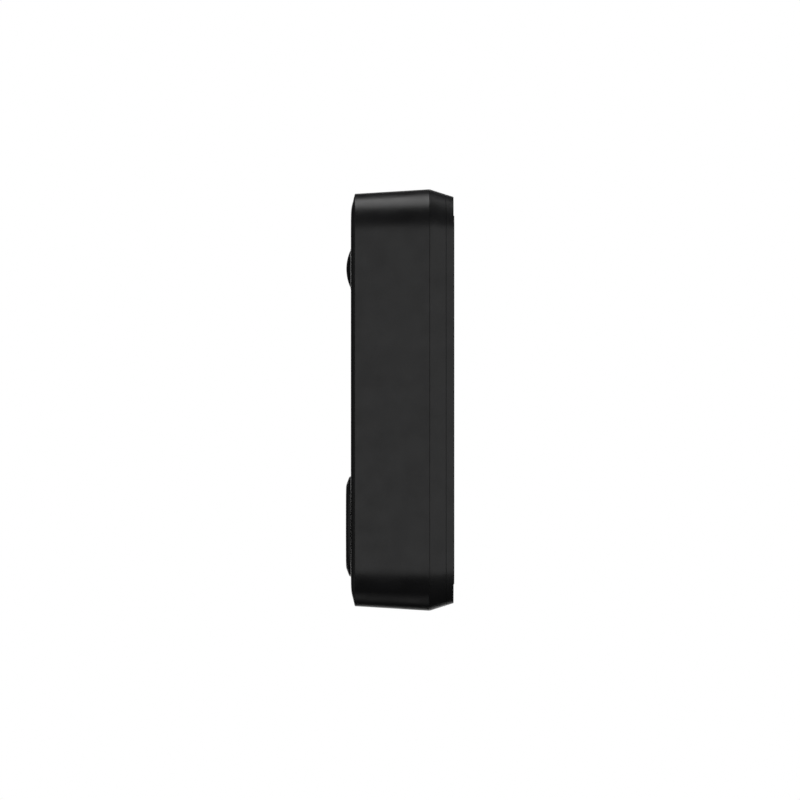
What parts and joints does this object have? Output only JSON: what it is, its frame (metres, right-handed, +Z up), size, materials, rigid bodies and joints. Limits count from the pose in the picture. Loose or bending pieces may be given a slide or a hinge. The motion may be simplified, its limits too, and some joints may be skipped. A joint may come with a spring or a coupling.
{
  "type": "video doorbell",
  "caption": "Slim wired video doorbell on its wall plate: domed camera lens at the top, round call button with a light ring below, leaning sides and a crowned front.",
  "frame": {"origin": "centre of the wall plate's back face, half way up the doorbell, where it meets the wall", "axes": "+Z up, the front face with its lens and button faces -Y, the wall is at y = 0 and +X is to the right for someone facing the doorbell"},
  "size_m": [0.037, 0.0214, 0.083],
  "materials": {
    "housing_black": "fine matte texture",
    "rear_black": "fine matte texture",
    "plate_black": "matte moulding",
    "panel_gloss": "polished piano black",
    "button_gloss": "satin gloss",
    "lens_gloss": "polished dark window",
    "trim_black": "dark satin ring",
    "light_diffuser": "frosted light pipe",
    "silicone_grey": "silicone",
    "foam_black": "closed-cell foam",
    "steel": "zinc plated",
    "black_steel": "black oxide",
    "brass": "plain",
    "aluminium": "milled",
    "board_green": "solder mask over copper",
    "chip_black": "moulded epoxy",
    "inner_black": "moulded",
    "lens_glass": "coated",
    "filter_violet": "infrared-cut coating",
    "filter_clear": "clear",
    "copper": "enamelled copper wire",
    "led_white": "LED package",
    "led_infrared": "tinted epoxy",
    "sensor_cream": "package",
    "cone_grey": "pressed paper",
    "battery_blue": "shrink sleeve",
    "connector_cream": "moulded nylon",
    "ribbon_amber": "polyimide film",
    "thermal_blue": "gap pad"
  },
  "bodies": {
    "wall_plate": {"wall_plate": "plate_black"},
    "unit": {"rear_cover": "rear_black", "main_housing": "housing_black", "front_panel": "panel_gloss", "panel_adhesive": "foam_black", "cover_seal": "silicone_grey", "rear_cover_screws": "black_steel", "lens_window": "lens_gloss", "lens_trim": "trim_black", "lens_baffle": "foam_black", "lens_barrel": "inner_black", "lens_front_element": "lens_glass", "lens_middle_element": "lens_glass", "lens_rear_element": "lens_glass", "lens_holder": "inner_black", "filter_coil": "copper", "image_sensor": "chip_black", "sensor_glass": "filter_clear", "camera_board": "board_green", "board_screws": "steel", "ir_board": "board_green", "ir_leds": "led_infrared", "light_sensor": "sensor_cream", "microphone": "brass", "microphone_boot": "silicone_grey", "switch_body": "chip_black", "button_seal": "silicone_grey", "light_ring": "light_diffuser", "ring_leds": "led_white", "button_board": "board_green", "speaker_frame": "inner_black", "speaker_yoke": "steel", "speaker_magnet": "steel", "speaker_surround": "foam_black", "speaker_gasket": "foam_black", "speaker_mesh": "black_steel", "main_board": "board_green", "processor": "chip_black", "shield_can": "steel", "thermal_pad": "thermal_blue", "heat_spreader": "aluminium", "backup_battery": "battery_blue", "wifi_antenna": "copper", "terminal_posts": "brass", "terminal_screws": "brass", "terminal_washers": "steel", "setup_switch": "chip_black", "board_connectors": "connector_cream", "flex_ribbons": "ribbon_amber"},
    "call_button": {"button_cap": "button_gloss", "button_pad": "silicone_grey", "switch_plunger": "sensor_cream"},
    "filter_slider": {"filter_carrier": "inner_black", "ir_cut_filter": "filter_violet", "clear_filter": "filter_clear", "carrier_magnet": "steel"},
    "setup_button": {"setup_button": "sensor_cream"},
    "lock_screw": {"lock_screw": "black_steel"},
    "speaker_cone": {"speaker_cone": "cone_grey", "voice_coil": "copper"}
  },
  "joints": [
    {"name": "unit_tilt", "type": "hinge", "parent": "wall_plate", "child": "unit", "pos_m": [0, -0.00163, 0.04045], "axis": [-1, 0, 0], "range_deg": [0, 12]},
    {"name": "call_button_press", "type": "slide", "parent": "unit", "child": "call_button", "axis": [0, 1, 0], "range_m": [0, 0.0006], "stiffness_N_per_m": 150, "springref_m": -0.008},
    {"name": "filter_slide", "type": "slide", "parent": "unit", "child": "filter_slider", "axis": [-1, 0, 0], "range_m": [0, 0.0052]},
    {"name": "setup_button_press", "type": "slide", "parent": "unit", "child": "setup_button", "axis": [0, -1, 0], "range_m": [0, 0.0003], "stiffness_N_per_m": 150, "springref_m": -0.005},
    {"name": "lock_screw_advance", "type": "slide", "parent": "unit", "child": "lock_screw", "axis": [0, 0, 1], "range_m": [0, 0.0012]},
    {"name": "cone_stroke", "type": "slide", "parent": "unit", "child": "speaker_cone", "axis": [0, -1, 0], "range_m": [-0.00025, 0.00025], "stiffness_N_per_m": 600}
  ]
}
